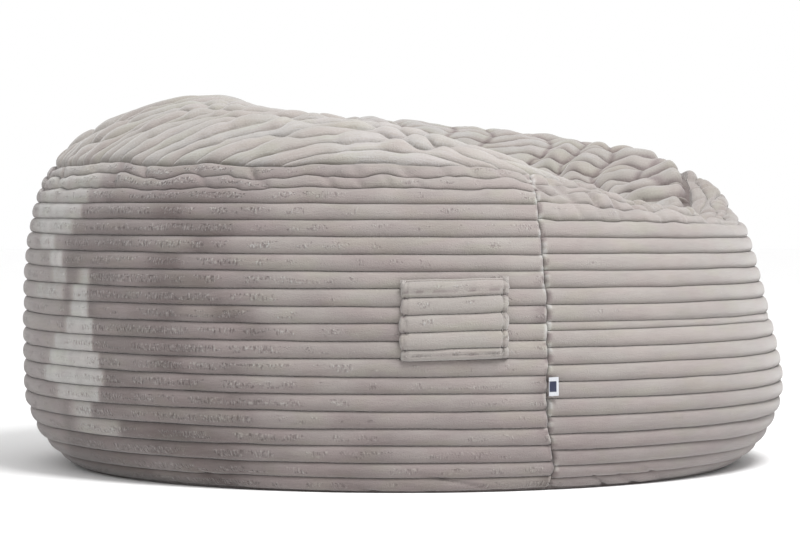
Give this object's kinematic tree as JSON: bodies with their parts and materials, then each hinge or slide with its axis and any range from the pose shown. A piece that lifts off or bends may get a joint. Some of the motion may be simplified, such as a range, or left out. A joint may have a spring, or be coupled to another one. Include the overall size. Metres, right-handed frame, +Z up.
{
  "type": "bean bag chair",
  "caption": "Low, wide bean bag chair: ribbed plush cover with a domed back, a sunken seat and a side patch pocket, zipped over a liner of foam beads.",
  "frame": {"origin": "on the floor, under the middle of the chair's bounding box", "axes": "+X towards the chair's front, +Y towards the sitter's left, +Z up"},
  "size_m": [1.2982, 1.2166, 0.622],
  "materials": {
    "ribbed_plush": "deep-pile ribbed plush, grey-taupe, soft sheen",
    "base_cloth": "tough plain weave, charcoal",
    "sewing_thread": "spun polyester thread, taupe",
    "woven_label": "satin woven tag, navy and off-white",
    "zip_tape": "woven polyester tape, black",
    "zip_coil": "black monofilament coil",
    "zip_metal": "satin die-cast metal",
    "liner_cloth": "fine plain weave, off-white",
    "foam_beads": "expanded polystyrene beads, white"
  },
  "bodies": {
    "chair": {"cover_back_side_panel": "ribbed_plush", "cover_front_side_panel": "ribbed_plush", "cover_top_panel": "ribbed_plush", "side_pocket": "ribbed_plush", "cover_base_rear_panel": "base_cloth", "cover_base_front_panel": "base_cloth", "side_seam_thread_left": "sewing_thread", "side_seam_thread_right": "sewing_thread", "rim_seam_thread": "sewing_thread", "base_seam_thread": "sewing_thread", "pocket_stitching": "sewing_thread", "pocket_bar_tack_front": "sewing_thread", "pocket_bar_tack_rear": "sewing_thread", "woven_label": "woven_label", "cover_zip_tape_rear": "zip_tape", "cover_zip_tape_front": "zip_tape", "cover_zip_coil_rear": "zip_coil", "cover_zip_coil_front": "zip_coil", "cover_zip_bottom_stop": "zip_metal", "cover_zip_top_stop_front": "zip_metal", "cover_zip_top_stop_rear": "zip_metal", "liner_side_panel": "liner_cloth", "liner_top_panel": "liner_cloth", "liner_base_panel": "liner_cloth", "liner_zip_tape_rear": "zip_tape", "liner_zip_tape_front": "zip_tape", "liner_zip_coil_rear": "zip_coil", "liner_zip_coil_front": "zip_coil", "liner_zip_bottom_stop": "zip_metal", "liner_zip_top_stop_front": "zip_metal", "liner_zip_top_stop_rear": "zip_metal", "bead_filling": "foam_beads"},
    "cover_slider": {"cover_zip_slider": "zip_metal"},
    "liner_slider": {"liner_zip_slider": "zip_metal"}
  },
  "joints": [
    {"name": "cover_zip_slide", "type": "slide", "parent": "chair", "child": "cover_slider", "axis": [0, -1, 0], "range_m": [0, 0.98]},
    {"name": "liner_zip_slide", "type": "slide", "parent": "chair", "child": "liner_slider", "axis": [0, -1, 0], "range_m": [0, 0.384]}
  ]
}
